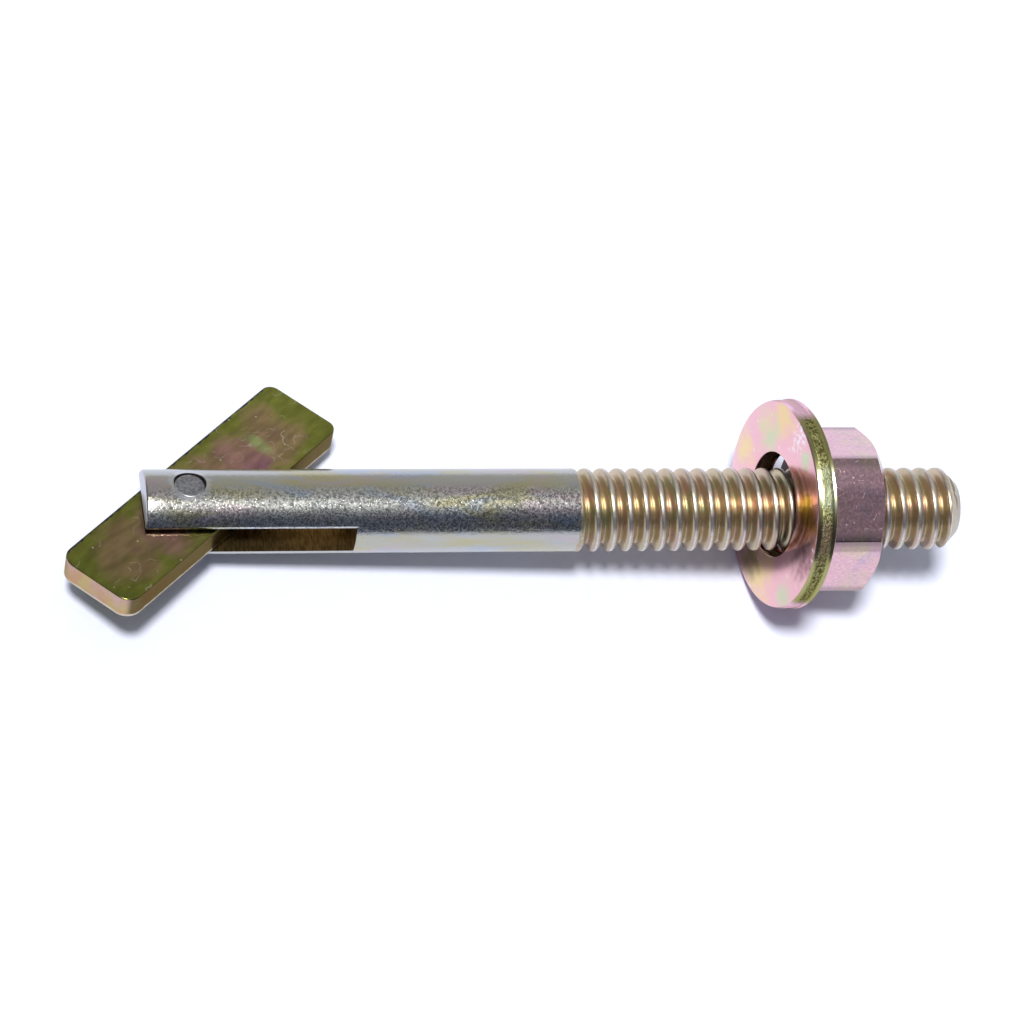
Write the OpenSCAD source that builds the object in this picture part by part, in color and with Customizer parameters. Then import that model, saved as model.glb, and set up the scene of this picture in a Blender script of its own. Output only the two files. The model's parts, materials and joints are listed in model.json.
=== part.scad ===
// Gravity toggle bolt: a slotted stud with a swinging bar on a pin, a loose washer and a hex nut.
// Millimetres, +Z up. The bolt lies on the ground as it comes to rest, on three points:
// the stud's tip, the far corner of the bar and the rim of the washer.
// The origin is on the ground, under the middle of the bolt.
// Each piece is drawn along the stud first: X from the slotted tip to the threaded end,
// Z along the pin, Y across. The lay module then rolls and tilts them all together.

/* [Stud] */
// Length of the stud from tip to end
stud_l = 63; // [55:0.5:90]
// Diameter of the plain shank and of the thread's crests
stud_d = 6.3; // [5.6:0.05:7.2]
// Radius of the rounded rim at the slotted tip
tip_round = 0.15; // [0.1:0.05:0.8]
// Depth of the chamfer round the threaded end
end_chamfer = 1.05; // [0.3:0.05:1.2]
// Length of the thread, measured from the end
thread_l = 30.27; // [24:0.01:36]
// Pitch of the thread
thread_pitch = 1.27; // [1:0.01:1.5]

/* [Slot and pin] */
// Width of the slot that the bar swings in
slot_w = 2.38; // [2.2:0.01:2.8]
// Length of the slot from the tip
slot_l = 15.7; // [14:0.1:20]
// Distance from the tip to the pin's axis
pin_x = 3.34; // [2.5:0.01:4]
// Diameter of the pin
pin_d = 2.38; // [1.8:0.01:2.6]
// Depth of the pin's flat ends below the crown of the shank
pin_recess = 0.3; // [0.2:0.01:0.6]
// Chamfer round the pin's ends
pin_chamfer = 0.18; // [0.05:0.01:0.3]

/* [Toggle bar] */
// Length of the bar
bar_l = 24.9; // [22:0.1:30]
// Width of the bar
bar_w = 6.7; // [5.5:0.01:7]
// Thickness of the bar
bar_t = 1.87; // [1.5:0.01:1.9]
// Distance from the pin to the middle of the bar, towards its heavy end
bar_offset = 1.8; // [1:0.05:2.5]
// Radius of the corners at the bar's heavy end, seen from above
bar_heavy_corner = 0.85; // [0.6:0.05:2.5]
// Radius of the corners at the bar's light end, seen from above
bar_light_corner = 1.25; // [0.6:0.05:2.5]
// Radius that the punch leaves round the bar's upper rim
bar_roll = 0.12; // [0.1:0.01:0.5]
// Angle between the bar and the stud, as the bolt lies
bar_angle = 45.4; // [40:0.1:80]

/* [Washer] */
// Outer diameter of the washer
washer_d = 16.1; // [14:0.05:19]
// Diameter of the washer's hole
washer_hole_d = 8.04; // [7.8:0.01:9]
// Thickness of the washer
washer_t = 1.53; // [1.2:0.01:2]
// Radius that the punch leaves round the washer's front rim
washer_roll = 0.2; // [0.1:0.05:0.4]
// Angle by which the washer's top leans back onto the nut
washer_lean = 5.7; // [2:0.1:7]
// Angle by which the washer's near side is turned back onto the nut
washer_turn = 6.75; // [2:0.05:8]
// Angle from straight up to the far side at which the washer sits off the stud's axis
washer_side = 20; // [0:1:30]

/* [Nut] */
// Width of the nut across its flats
nut_flats = 10.98; // [10:0.01:12.5]
// Height of the nut
nut_h = 5.46; // [4.5:0.01:6.5]
// Height of the chamfers on the nut's corners
nut_chamfer = 0.85; // [0.2:0.01:1.1]
// Depth of the countersinks at both ends of the nut's hole
nut_sink = 0.5; // [0.2:0.01:0.8]
// Angle by which the nut is turned on the stud
nut_turn = 6.3; // [-30:0.1:30]
// Length of free thread beyond the nut
nut_free = 6.8; // [1:0.1:12]

/* [Fits] */
// Clearance round the pin in the stud's holes
pin_seat_clear = 0.01; // [0.01:0.005:0.03]
// Clearance round the pin in the bar's hole
pin_run_clear = 0.08; // [0.04:0.01:0.1]
// Clearance round the thread's crests in the nut's hole
thread_clear = 0.05; // [0.02:0.01:0.1]
// Gap left under the washer's hole, where it rests on the stud
washer_seat_clear = 0.2; // [0.1:0.01:0.3]
// Gap left where the washer leans on the rim of the nut's face
washer_nut_clear = 0.06; // [0.03:0.01:0.1]

/* [Hidden] */
$fn = 96;

// Overrun of every cut past the faces that it goes through
overrun = 0.5;
// Steps in a rounded rim
rim_steps = 5;

// Stud sizes
stud_r = stud_d / 2;
end_r = stud_r - end_chamfer;
pin_r = pin_d / 2;
pin_l = 2 * (stud_r - pin_recess);

// Thread section: flats at crest and root as shares of the pitch, flanks at 60 degrees to each other
crest_flat_share = 1 / 8;
root_flat_share = 1 / 4;
flank_angle = 30;
crest_flat = thread_pitch * crest_flat_share;
root_flat = thread_pitch * root_flat_share;
groove_mouth = thread_pitch - crest_flat;
thread_depth = (groove_mouth - root_flat) / 2 / tan(flank_angle);
thread_x = stud_l - thread_l;
groove_count = ceil(thread_l / thread_pitch);

// Bar sizes: its pin hole, and which way each end lies from its middle, with the radius there
bar_hole_r = pin_r + pin_run_clear;
bar_ends = [[1, bar_heavy_corner], [-1, bar_light_corner]];

// Nut sizes and place. Its flat faces end at the chamfers' rim, or at the flats if those are nearer
chamfer_angle = 30;
nut_corner_r = nut_flats / 2 / cos(30);
nut_rim_r = nut_corner_r - nut_chamfer / tan(chamfer_angle);
nut_face_r = min(nut_rim_r, nut_flats / 2);
nut_hole_r = stud_r + thread_clear;
nut_x = stud_l - nut_free - nut_h;

// Washer sizes. Its axis leans away from the stud, which narrows the hole that the stud sees
washer_r = washer_d / 2;
washer_hole_r = washer_hole_d / 2;
washer_axis = [
    cos(washer_turn) * cos(washer_lean),
    sin(washer_turn),
    -cos(washer_turn) * sin(washer_lean)
];
washer_lean_all = acos(washer_axis.x);
washer_lift = washer_hole_r * cos(washer_lean_all) - washer_t / 2 * sin(washer_lean_all)
    - stud_r - washer_seat_clear;

// Middle of the washer: lifted off the stud's axis, nearly straight up from the ground, and set
// along the stud so that its back just clears the rim of the nut's face
function washer_middle(roll) =
    let (side = roll - washer_side)
    let (across = [0, -washer_lift * sin(side), washer_lift * cos(side)])
    let (nut_side = nut_face_r * sin(washer_lean_all))
    let (back = washer_t / 2 + washer_nut_clear + nut_side + washer_axis * across)
    across + [nut_x - back / washer_axis.x, 0, 0];

// Reach of each piece in a direction d, measured from the stud's tip
function tip_reach(d) = d.x * tip_round + (stud_r - tip_round) * norm([d.y, d.z]) + tip_round;
function end_reach(d) = d.x * stud_l + end_r * norm([d.y, d.z]);
function bar_point(x, y) = [
    pin_x + x * cos(bar_angle) - y * sin(bar_angle),
    x * sin(bar_angle) + y * cos(bar_angle),
    0
];
function bar_reach(d) =
    max([
        for (end = bar_ends, side = [-1, 1])
            let (x = end[0] * (bar_l / 2 - end[1]))
            let (y = side * (bar_w / 2 - end[1]))
            bar_point(bar_offset + x, y) * d + end[1] * norm([d.x, d.y])
    ]) + bar_t / 2 * abs(d.z);
function washer_reach(d, roll) =
    let (slant = washer_axis * d)
    washer_middle(roll) * d + washer_r * sqrt(1 - slant * slant) + washer_t / 2 * abs(slant);
function reach(d, roll) = max(tip_reach(d), end_reach(d), bar_reach(d), washer_reach(d, roll));

// The ground's up, along and across directions, seen from the stud, for a pose [tilt, roll]
function ground_up(pose) = [
    sin(pose[0]), -cos(pose[0]) * sin(pose[1]), cos(pose[0]) * cos(pose[1])
];
function ground_along(pose) = [
    cos(pose[0]), sin(pose[0]) * sin(pose[1]), -sin(pose[0]) * cos(pose[1])
];
function ground_across(pose) = [0, cos(pose[1]), sin(pose[1])];

// Tilt and roll at which the tip, the bar's far corner and the washer all touch the ground
bar_span = (bar_l / 2 + bar_offset) * sin(bar_angle);
settle_steps = 30;
function settle(pose, steps) =
    steps == 0 ? pose :
    let (down = -ground_up(pose))
    let (washer_low = washer_reach(down, pose[1]) - tip_reach(down))
    let (bar_high = tip_reach(down) - bar_reach(down))
    settle([pose[0] + asin(washer_low / nut_x), pose[1] + asin(bar_high / bar_span)], steps - 1);
rest = settle([0, 0], settle_steps);
rest_tilt = rest[0];
rest_roll = rest[1];

// Half the difference of the reaches both ways: the middle of the bolt in that direction
function middle(d) = (reach(d, rest_roll) - reach(-d, rest_roll)) / 2;
rest_height = reach(-ground_up(rest), rest_roll);

// Lays a piece that is drawn along the stud down on the ground
module lay() {
    translate([-middle(ground_along(rest)), -middle(ground_across(rest)), rest_height])
        rotate([-rest_roll, -rest_tilt, 0])
            children();
}

// Turns a profile with [radius, distance from the tip] about the stud's axis
module turned() {
    rotate([0, 90, 0])
        rotate_extrude()
            children();
}

// Points of a quarter round about a centre, from one angle to the next
function quarter(centre, r, start) = [
    for (i = [0 : rim_steps])
        let (a = start + 90 * i / rim_steps)
        centre + r * [cos(a), sin(a)]
];

// Half section of the plain stud: rounded tip, straight shank, chamfered end
module stud_profile() {
    polygon(concat(
        [[0, 0]],
        quarter([stud_r - tip_round, tip_round], tip_round, -90),
        [[stud_r, stud_l - end_chamfer], [end_r, stud_l], [0, stud_l]]
    ));
}

// Section of one thread groove, with its flanks drawn on past the crests
module groove_profile() {
    root_r = stud_r - thread_depth;
    half_mouth = groove_mouth / 2 + overrun * tan(flank_angle);
    polygon([
        [root_r, -root_flat / 2],
        [stud_r + overrun, -half_mouth],
        [stud_r + overrun, half_mouth],
        [root_r, root_flat / 2]
    ]);
}

// The stud turned from bar, its thread drawn as rings of the true section
module stud_blank() {
    turned()
        difference() {
            stud_profile();
            for (i = [0 : groove_count - 1])
                translate([0, thread_x + groove_mouth / 2 + i * thread_pitch])
                    groove_profile();
        }
}

module stud() {
    color([0.72, 0.7, 0.6])
        lay()
            difference() {
                stud_blank();
                translate([-overrun, -stud_r - overrun, -slot_w / 2])
                    cube([slot_l + overrun, stud_d + 2 * overrun, slot_w]);
                translate([pin_x, 0, -stud_r - overrun])
                    cylinder(r = pin_r + pin_seat_clear, h = stud_d + 2 * overrun);
            }
}

// The pin that is pressed through both sides of the fork
module pivot_pin() {
    color([0.55, 0.55, 0.55])
        lay()
            translate([pin_x, 0, -pin_l / 2])
                rotate_extrude()
                    polygon([
                        [0, 0],
                        [pin_r - pin_chamfer, 0],
                        [pin_r, pin_chamfer],
                        [pin_r, pin_l - pin_chamfer],
                        [pin_r - pin_chamfer, pin_l],
                        [0, pin_l]
                    ]);
}

// Section of the bar across its width, with its upper rims rolled over by the punch
module bar_section() {
    polygon(concat(
        [[-bar_w / 2, -bar_t / 2], [bar_w / 2, -bar_t / 2]],
        quarter([bar_w / 2 - bar_roll, bar_t / 2 - bar_roll], bar_roll, 0),
        quarter([bar_roll - bar_w / 2, bar_t / 2 - bar_roll], bar_roll, 90)
    ));
}

// Section of the bar from a line inside it to a rim at some distance
module bar_rim_section(distance) {
    polygon(concat(
        [[0, -bar_t / 2], [distance, -bar_t / 2]],
        quarter([distance - bar_roll, bar_t / 2 - bar_roll], bar_roll, 0),
        [[0, bar_t / 2]]
    ));
}

// Half of the bar, from its middle along X to an end whose corners have a radius
module bar_half(corner) {
    corner_x = bar_l / 2 - corner;
    corner_y = bar_w / 2 - corner;
    rotate([90, 0, 90])
        linear_extrude(corner_x)
            bar_section();
    rotate([90, 0, 0])
        linear_extrude(2 * corner_y, center = true)
            bar_rim_section(bar_l / 2);
    for (y = [-corner_y, corner_y])
        translate([corner_x, y, 0])
            rotate_extrude()
                bar_rim_section(corner);
}

// The bar about its own middle, lying along X with its heavy end forward
module bar_plate() {
    bar_half(bar_heavy_corner);
    mirror([1, 0, 0])
        bar_half(bar_light_corner);
}

module toggle_bar() {
    color([0.45, 0.42, 0.24])
        lay()
            translate([pin_x, 0, 0])
                rotate([0, 0, bar_angle])
                    difference() {
                        translate([bar_offset, 0, 0])
                            bar_plate();
                        translate([0, 0, -bar_t / 2 - overrun])
                            cylinder(r = bar_hole_r, h = bar_t + 2 * overrun);
                    }
}

// The washer's front, with the rolled rim, faces the slotted tip
module washer() {
    color([0.85, 0.72, 0.62])
        lay()
            translate(washer_middle(rest_roll))
                rotate([0, washer_lean, 0])
                    rotate([0, 0, washer_turn])
                        translate([-washer_t / 2, 0, 0])
                            turned()
                                polygon(concat(
                                    [[washer_hole_r, 0]],
                                    quarter([washer_r - washer_roll, washer_roll], washer_roll, -90),
                                    [[washer_r, washer_t], [washer_hole_r, washer_t]]
                                ));
}

// Half section that chamfers the corners of the hexagon at both ends
module nut_envelope() {
    shoulder_r = nut_corner_r + overrun;
    slope_h = (shoulder_r - nut_corner_r) * tan(chamfer_angle) + nut_chamfer;
    polygon([
        [0, 0],
        [nut_rim_r, 0],
        [shoulder_r, slope_h],
        [shoulder_r, nut_h - slope_h],
        [nut_rim_r, nut_h],
        [0, nut_h]
    ]);
}

// Half section of the nut's hole with its countersinks, drawn on past both ends
module nut_hole() {
    sink_r = nut_hole_r + nut_sink + overrun;
    polygon([
        [0, -overrun],
        [sink_r, -overrun],
        [nut_hole_r, nut_sink],
        [nut_hole_r, nut_h - nut_sink],
        [sink_r, nut_h + overrun],
        [0, nut_h + overrun]
    ]);
}

module hex_nut() {
    color([0.78, 0.68, 0.66])
        lay()
            translate([nut_x, 0, 0])
                difference() {
                    intersection() {
                        rotate([0, 90, 0])
                            rotate([0, 0, nut_turn])
                                cylinder(r = nut_corner_r, h = nut_h, $fn = 6);
                        turned()
                            nut_envelope();
                    }
                    turned()
                        nut_hole();
                }
}

stud();
pivot_pin();
toggle_bar();
washer();
hex_nut();
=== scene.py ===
"""Gravity toggle bolt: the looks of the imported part, laid out as a Blender add-on."""

import json
import math
from types import SimpleNamespace

import bmesh
import bpy
import numpy as np
from bpy.props import FloatProperty, FloatVectorProperty, PointerProperty
from mathutils import Matrix, Vector


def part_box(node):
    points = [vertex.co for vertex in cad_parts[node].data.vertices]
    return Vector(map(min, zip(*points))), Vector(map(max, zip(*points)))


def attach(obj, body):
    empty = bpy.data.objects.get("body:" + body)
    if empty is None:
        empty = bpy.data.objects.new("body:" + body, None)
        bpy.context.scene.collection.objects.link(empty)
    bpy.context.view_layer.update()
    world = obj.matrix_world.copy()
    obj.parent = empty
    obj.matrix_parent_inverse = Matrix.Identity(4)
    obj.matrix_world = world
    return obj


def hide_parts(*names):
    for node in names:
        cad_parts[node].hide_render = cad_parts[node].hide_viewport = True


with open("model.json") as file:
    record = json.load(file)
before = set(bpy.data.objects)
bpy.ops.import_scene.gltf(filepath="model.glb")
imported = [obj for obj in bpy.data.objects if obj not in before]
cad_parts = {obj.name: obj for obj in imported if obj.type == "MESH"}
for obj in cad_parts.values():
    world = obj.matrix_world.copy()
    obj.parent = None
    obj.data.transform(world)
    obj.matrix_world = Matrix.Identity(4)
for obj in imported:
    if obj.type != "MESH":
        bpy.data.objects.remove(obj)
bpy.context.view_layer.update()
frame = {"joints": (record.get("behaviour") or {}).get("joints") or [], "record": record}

bl_info = {
    "name": "Gravity toggle bolt",
    "version": (1, 0, 0),
    "blender": (4, 5, 0),
    "location": "View3D > Sidebar > Toggle bolt",
    "description": "Builds a plated toggle bolt around its CAD frame, with a studio floor and light",
    "category": "Add Mesh",
}

MM = 0.001
# Mesh attribute that holds each point's place on its own piece, in millimetres
PLACE = "place"
# Points round every turned surface
ROUND_STEPS = 96
# Points along one pitch of the thread
PITCH_STEPS = 20
# Smoothing passes that round the edges of the thread
RUB_STEPS = 4
# Shares of the pitch that the thread's crests and roots take before they are rounded
CREST_SHARE = 0.37
ROOT_SHARE = 0.12
# Middle of the first crest behind the thread's shoulder, as a share of the pitch
FIRST_CREST_SHARE = 15 / 16
# Turns of the helix drawn ahead of the thread, and past the stud's end before it is cut off
SPARE_TURNS = 2
# Rings along the plain shank
SHANK_STEPS = 24
# Angle of the broken edges along the slot to its sides
SLOT_FLARE = math.radians(85)
# Steps in a rounded edge
EDGE_STEPS = 6
# Points in each rounded corner of the bar
CORNER_STEPS = 12
# Length of the slope up to the washer's burr as a share of the burr, and points up that slope
BURR_SLOPE_SHARE = 2.6
BURR_STEP_SHARES = (0, 0.1, 0.9)
# Points along each flat of the nut, and steps round each of its corners
FLAT_STEPS = 16
BEVEL_STEPS = 3
# Angle of the nut's chamfers to its ends
CHAMFER_ANGLE = math.radians(30)
# How far a cutter reaches past what it cuts, in millimetres
OVERRUN = 0.5
# Points closer than this are joined, in millimetres
JOIN_GAP = 1e-4
# A face this close to a plane counts as within it, in millimetres
NEAR = 1e-3
# A face is on a flat side while the cosine of its turn from that side is above this
SLOT_FLAT = 0.99
BAR_FLAT = 0.7
WASHER_FLAT = 0.5
NUT_FLAT = 0.95
# Faces that meet at less than this angle are shaded as one surface
SMOOTH_ANGLE = math.radians(32)

# Directions across the pieces: to the shank's upper front side, where its grain is brightened as a painted
# sparkle, to the thread's lower front side, where its film is darkened as painted shade, to the green side
# of the washer's rim, and to one flat of the nut, darkened as painted shade
SPARKLE_WAY = (0, -0.66, 0.715)
SHADED_THREAD_WAY = (0, -0.715, -0.66)
GREEN_RIM_WAY = (0, -0.777, 0.63)
SHADED_FLAT_WAY = (0, -0.6826, 0.7308)
# Distances along the sparkle way where the painted sparkle starts and is full, as shares of the stud's
# diameter
SPARKLE_START_SHARE = 0.37
SPARKLE_FULL_SHARE = 0.46
# Patches of film on the bar's upper face: colour, place from the pin and reach, in millimetres
BAR_PATCHES = (
    ("mauve", (5.8, -0.3), (4.5, 3.0)),
    ("mauve", (-3.0, -0.8), (3.5, 2.6)),
    ("violet", (6.6, -1.8), (1.5, 1.3)),
    ("streak", (8.6, 0.1), (0.7, 1.9)),
)
# The same on the washer's front face, from its middle
WASHER_PATCHES = (
    ("yellow", (2.6, 6.3), (2.2, 2.2)),
    ("yellow", (4.4, 3.6), (1.9, 1.9)),
    ("yellow", (6.2, -0.3), (2.0, 2.0)),
    ("yellow", (-2.0, -5.6), (3.2, 3.2)),
    ("mint", (4.0, 3.4), (2.0, 2.0)),
    ("mint", (-6.0, -3.6), (1.6, 1.6)),
    ("mint", (-1.5, 6.6), (1.2, 1.2)),
    # The olive, mauve, amber and gold patches beside and below the stud are a painted reflection of the stud
    # and its shade
    ("olive", (0.3, -5.6), (2.4, 2.4)),
    ("mauve", (-6.2, 1.3), (2.8, 3.0)),
    ("amber", (-5.0, 3.6), (2.4, 2.2)),
    ("gold", (-4.2, 4.2), (1.5, 1.7)),
)
# The same on the washer's rim, with the strength of each: the mint patch is a painted highlight and the bore
# patch a painted shade
RIM_PATCHES = (
    ("mint", (-4.9, 6.3), (2.6, 2.2), 0.8),
    ("bore", (-7.0, 3.8), (2.2, 2.2), 0.7),
)
# Place and reach of the scratched spot on the bar and the scuffed spot on the washer
BAR_SCUFF = ((10.2, -1.4), (1.9, 1.7))
WASHER_SCUFF = ((0.2, 7.2), (1.6, 2.2))
# Reach of every patch through the thickness of its piece, in millimetres
PATCH_DEPTH = 4
# Half the side of the floor, in metres
FLOOR_REACH = 3
# Width of the camera's sensor, in millimetres
SENSOR_WIDTH = 36


# Settings


def length(name, description, millimetres):
    """A length that a user can set."""
    return FloatProperty(
        name=name, description=description, default=millimetres * MM, unit="LENGTH", precision=5
    )


def angle(name, description, degrees):
    """An angle that a user can set."""
    return FloatProperty(
        name=name, description=description, default=math.radians(degrees), unit="ROTATION"
    )


def amount(name, description, default):
    """A plain number that a user can set."""
    return FloatProperty(name=name, description=description, default=default, min=0)


def colour(name, description, default):
    """A colour that a user can set."""
    return FloatVectorProperty(
        name=name, description=description, default=default, subtype="COLOR", size=3, min=0, max=1
    )


class StudSettings(bpy.types.PropertyGroup):
    """Sizes and colours of the stud."""

    long: length("Length", "Length of the stud from tip to end", 63)
    across: length("Diameter", "Diameter of the shank and of the thread's crests", 6.3)
    tip_round: length("Tip rounding", "Radius of the rounded rim at the slotted tip", 0.22)
    end_chamfer: length("End chamfer", "Depth of the chamfer round the threaded end", 1.05)
    thread_start: length("Thread start", "Distance from the tip to the thread's shoulder", 32.73)
    pitch: length("Pitch", "Pitch of the thread", 1.27)
    thread_depth: length("Thread depth", "Depth of the thread's grooves", 0.687)
    shoulder: length("Shoulder", "Length over which the first groove sinks in", 0.45)
    crest_side: angle("Crest side", "Angle round the stud where the crests lie as in the CAD", 101)
    slot_wide: length("Slot width", "Width of the slot in the fork", 2.38)
    slot_long: length("Slot length", "Length of the slot from the tip", 15.7)
    slot_edge: length("Slot edge", "Depth of the broken edges along the slot", 0.09)
    pin_from_tip: length("Pin place", "Distance from the tip to the pin's axis", 3.34)
    pin_hole: length("Pin hole", "Diameter of the holes for the pin", 2.4)
    silver: colour("Silver", "Main colour of the shank", (0.45, 0.45, 0.41))
    olive: colour("Olive", "Colour of the film's thin olive patches", (0.46, 0.43, 0.27))
    rose: colour("Rose", "Colour of the film's thin rose patches", (0.48, 0.42, 0.41))
    blue: colour("Blue", "Colour of the film's thin blue patches", (0.39, 0.43, 0.47))
    gold: colour("Gold", "Main colour of the thread", (0.57, 0.465, 0.3))
    copper: colour("Copper", "Colour of the thread's redder patches", (0.56, 0.42, 0.31))
    crest: colour("Crest", "Colour of the thread's rubbed crests", (0.6, 0.605, 0.625))
    sawn: colour("Sawn", "Colour of the slot's sawn faces", (0.5, 0.37, 0.17))
    # The walls of the pin's holes are painted dark as the shade inside the holes
    dark: colour("Dark", "Colour of the walls of the pin's holes", (0.12, 0.11, 0.1))


class PinSettings(bpy.types.PropertyGroup):
    """Sizes and colour of the pivot pin."""

    long: length("Length", "Length of the pin", 5.7)
    across: length("Diameter", "Diameter of the pin", 2.38)
    edge: length("Edge", "Radius of the rounded rims", 0.18)
    dish: length("Dish", "Depth of the hollow in the pin's ends", 0.04)
    steel: colour("Steel", "Colour of the bare steel", (0.35, 0.35, 0.365))
    # The rims are painted lighter as a highlight on their rounding
    rim: colour("Rim", "Colour of the rubbed rims", (0.7, 0.7, 0.7))


class BarSettings(bpy.types.PropertyGroup):
    """Sizes and colours of the toggle bar."""

    long: length("Length", "Length of the bar", 24.9)
    wide: length("Width", "Width of the bar", 6.7)
    thick: length("Thickness", "Thickness of the bar", 1.87)
    offset: length("Offset", "Distance from the pin to the bar's middle", 1.8)
    heavy_corner: length("Heavy corner", "Radius of the corners at the heavy end", 0.85)
    light_corner: length("Light corner", "Radius of the corners at the light end", 1.25)
    roll: length("Roll", "Radius that the punch leaves round the upper rim", 0.12)
    burr: length("Burr", "Radius of the lower rim", 0.08)
    hole: length("Hole", "Diameter of the hole for the pin", 2.54)
    green: colour("Green", "Colour of the film near the rim", (0.2, 0.215, 0.04))
    brown: colour("Brown", "Colour of the film inside", (0.3, 0.21, 0.1))
    mauve: colour("Mauve", "Colour of the film beside the stud", (0.34, 0.19, 0.15))
    violet: colour("Violet", "Colour of a violet patch of the film", (0.3, 0.14, 0.18))
    streak: colour("Streak", "Colour of a green streak of the film", (0.34, 0.38, 0.15))
    # The long sides' two colours are painted shade, darker than the sheared ends
    edge: colour("Edge", "Colour of the long sides", (0.15, 0.115, 0.05))
    shade_brown: colour("Rust", "Second colour of the long sides", (0.15, 0.095, 0.04))
    sheen: colour("Sheen", "Colour of the long sides at a flat angle", (0.57, 0.53, 0.46))
    line: colour("Line", "Colour of the dark line along one long edge", (0.05, 0.05, 0.06))
    peach: colour("Peach", "Main colour of the sheared ends", (0.5, 0.31, 0.18))
    straw: colour("Straw", "Second colour of the sheared ends", (0.5, 0.38, 0.17))
    blush: colour("Blush", "Third colour of the sheared ends", (0.52, 0.36, 0.33))
    scratch: colour("Scratch", "Colour of scratches, specks and the rubbed lower rim", (0.62, 0.55, 0.42))


class WasherSettings(bpy.types.PropertyGroup):
    """Sizes and colours of the washer."""

    across: length("Diameter", "Outer diameter of the washer", 16.1)
    hole: length("Hole", "Diameter of the hole", 8.04)
    thick: length("Thickness", "Thickness of the washer", 1.53)
    roll: length("Roll", "Radius that the punch leaves round the front rim", 0.2)
    roll_long: length("Roll length", "Length of that rounding along the rim", 0.55)
    edge: length("Edge", "Radius of the other edges", 0.06)
    burr: length("Burr", "Height of the burr round the back rim", 0.08)
    pink: colour("Pink", "Main colour of the film", (0.81, 0.455, 0.475))
    peach: colour("Peach", "Second colour of the film", (0.76, 0.51, 0.44))
    yellow: colour("Yellow", "Colour of the film's yellow patches", (0.8, 0.6, 0.27))
    mint: colour("Mint", "Colour of the film's pale green patches", (0.56, 0.6, 0.38))
    scuff: colour("Scuff", "Colour of the white scuffs", (0.85, 0.8, 0.8))
    # The amber, gold, olive and mauve films are a painted reflection of the stud and its shade
    amber: colour("Amber", "Colour of the film beside the stud", (0.38, 0.19, 0.07))
    gold: colour("Gold", "Colour of a golden spot beside the stud", (0.45, 0.33, 0.05))
    olive: colour("Olive", "Colour of the film below the stud", (0.36, 0.27, 0.12))
    mauve: colour("Mauve", "Colour of the film under the amber patch", (0.22, 0.11, 0.11))
    bore: colour("Bore", "Colour of the hole's wall", (0.2, 0.13, 0.09))
    sheen: colour("Sheen", "Colour of the rim and of the hole's wall at a flat angle", (0.5, 0.45, 0.35))
    rim: colour("Rim", "Colour of the sheared rim", (0.37, 0.35, 0.14))
    blush: colour("Blush", "Colour of the pink stretch of the rim", (0.96, 0.62, 0.72))


class NutSettings(bpy.types.PropertyGroup):
    """Sizes and colours of the hex nut."""

    flats: length("Flats", "Width across the flats", 10.98)
    high: length("Height", "Height of the nut", 5.46)
    chamfer: length("Chamfer", "Height of the outer chamfer on the corners", 0.85)
    inner_chamfer: length("Inner chamfer", "Height of the chamfer towards the washer", 0.3)
    hole: length("Hole", "Diameter of the hole", 6.4)
    sink: length("Countersink", "Depth of the countersinks", 0.5)
    edge: length("Edge", "Size of the rounded corners", 0.09)
    turn: angle("Turn", "Angle by which the nut is turned on the stud", 6.3)
    pink: colour("Pink", "Main colour of the film", (0.74, 0.457, 0.49))
    yellow: colour("Yellow", "Colour of the film's yellow patches", (0.68, 0.52, 0.4))
    mauve: colour("Mauve", "Colour of the film's mauve patches", (0.58, 0.42, 0.48))
    scratch: colour("Scratch", "Colour of scratches and specks", (0.8, 0.76, 0.7))
    corner_darkening: colour("Grime", "Colour of the dull lines along the corners", (0.12, 0.1, 0.1))
    # The face towards the washer is painted dark as the shade between the nut and the washer
    face: colour("Face", "Colour of the turned face towards the washer", (0.13, 0.1, 0.08))


class StageSettings(bpy.types.PropertyGroup):
    """Camera, floor and light."""

    aim: length("Aim", "Distance from the stud's tip to the point that the camera aims at", 28.14)
    sink: length("Aim below", "Distance of that point below the stud's axis", 0.193)
    away: length("Distance", "Distance of the camera from that point", 297.17)
    lens: amount("Lens", "Focal length in millimetres on a 36 mm sensor", 138.64)
    above: angle("Above", "Angle of the camera above the stud's own level", 45.658)
    aside: angle("Aside", "Angle of the camera to the tip's side", 18.998)
    roll: angle("Roll", "Roll of the camera about its own axis", 13.55)
    floor: colour("Floor", "Colour of the floor", (0.74, 0.765, 0.88))
    key: amount("Key light", "Strength of the key light, in watts for each square metre", 3.5)
    key_lean: angle("Key lean", "Angle of the key light from straight up, to the camera's side", 15.6)
    key_left: angle("Key left", "Angle of the key light from straight up, to the camera's left", 8.0)
    key_wide: angle("Key size", "Angle that the key light fills, seen from the bolt", 11.0)
    glow: amount("Glow", "Brightness of the soft glow round the key light", 0.95)
    glow_wide: angle("Glow size", "Angle across the glow at half its brightness, seen from the bolt", 38.0)
    front: colour("Front", "Light of the room on the camera's side", (0.09, 0.104, 0.15))
    back: colour("Back", "Light of the room behind the bolt", (0.6, 0.6, 0.61))


def sizes_mm(group):
    """The group's lengths in millimetres, by name."""
    return SimpleNamespace(**{
        prop.identifier: getattr(group, prop.identifier) / MM
        for prop in group.bl_rna.properties
        if getattr(prop, "unit", "") == "LENGTH"
    })


# Places of the pieces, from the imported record


def joint(name):
    """The record's joint of that name."""
    return next(row for row in frame["joints"] if row["name"] == name)


def mount(name):
    """The record's mount of that name."""
    return next(row for row in frame["record"]["mounts"] if row["name"] == name)


STUD_AXIS = Vector(joint("washer_slide")["axis"]).normalized()
PIN_AXIS = Vector(joint("toggle_swing")["axis"]).normalized()
PIN_MIDDLE = Vector(joint("toggle_swing")["pos_m"])


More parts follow.
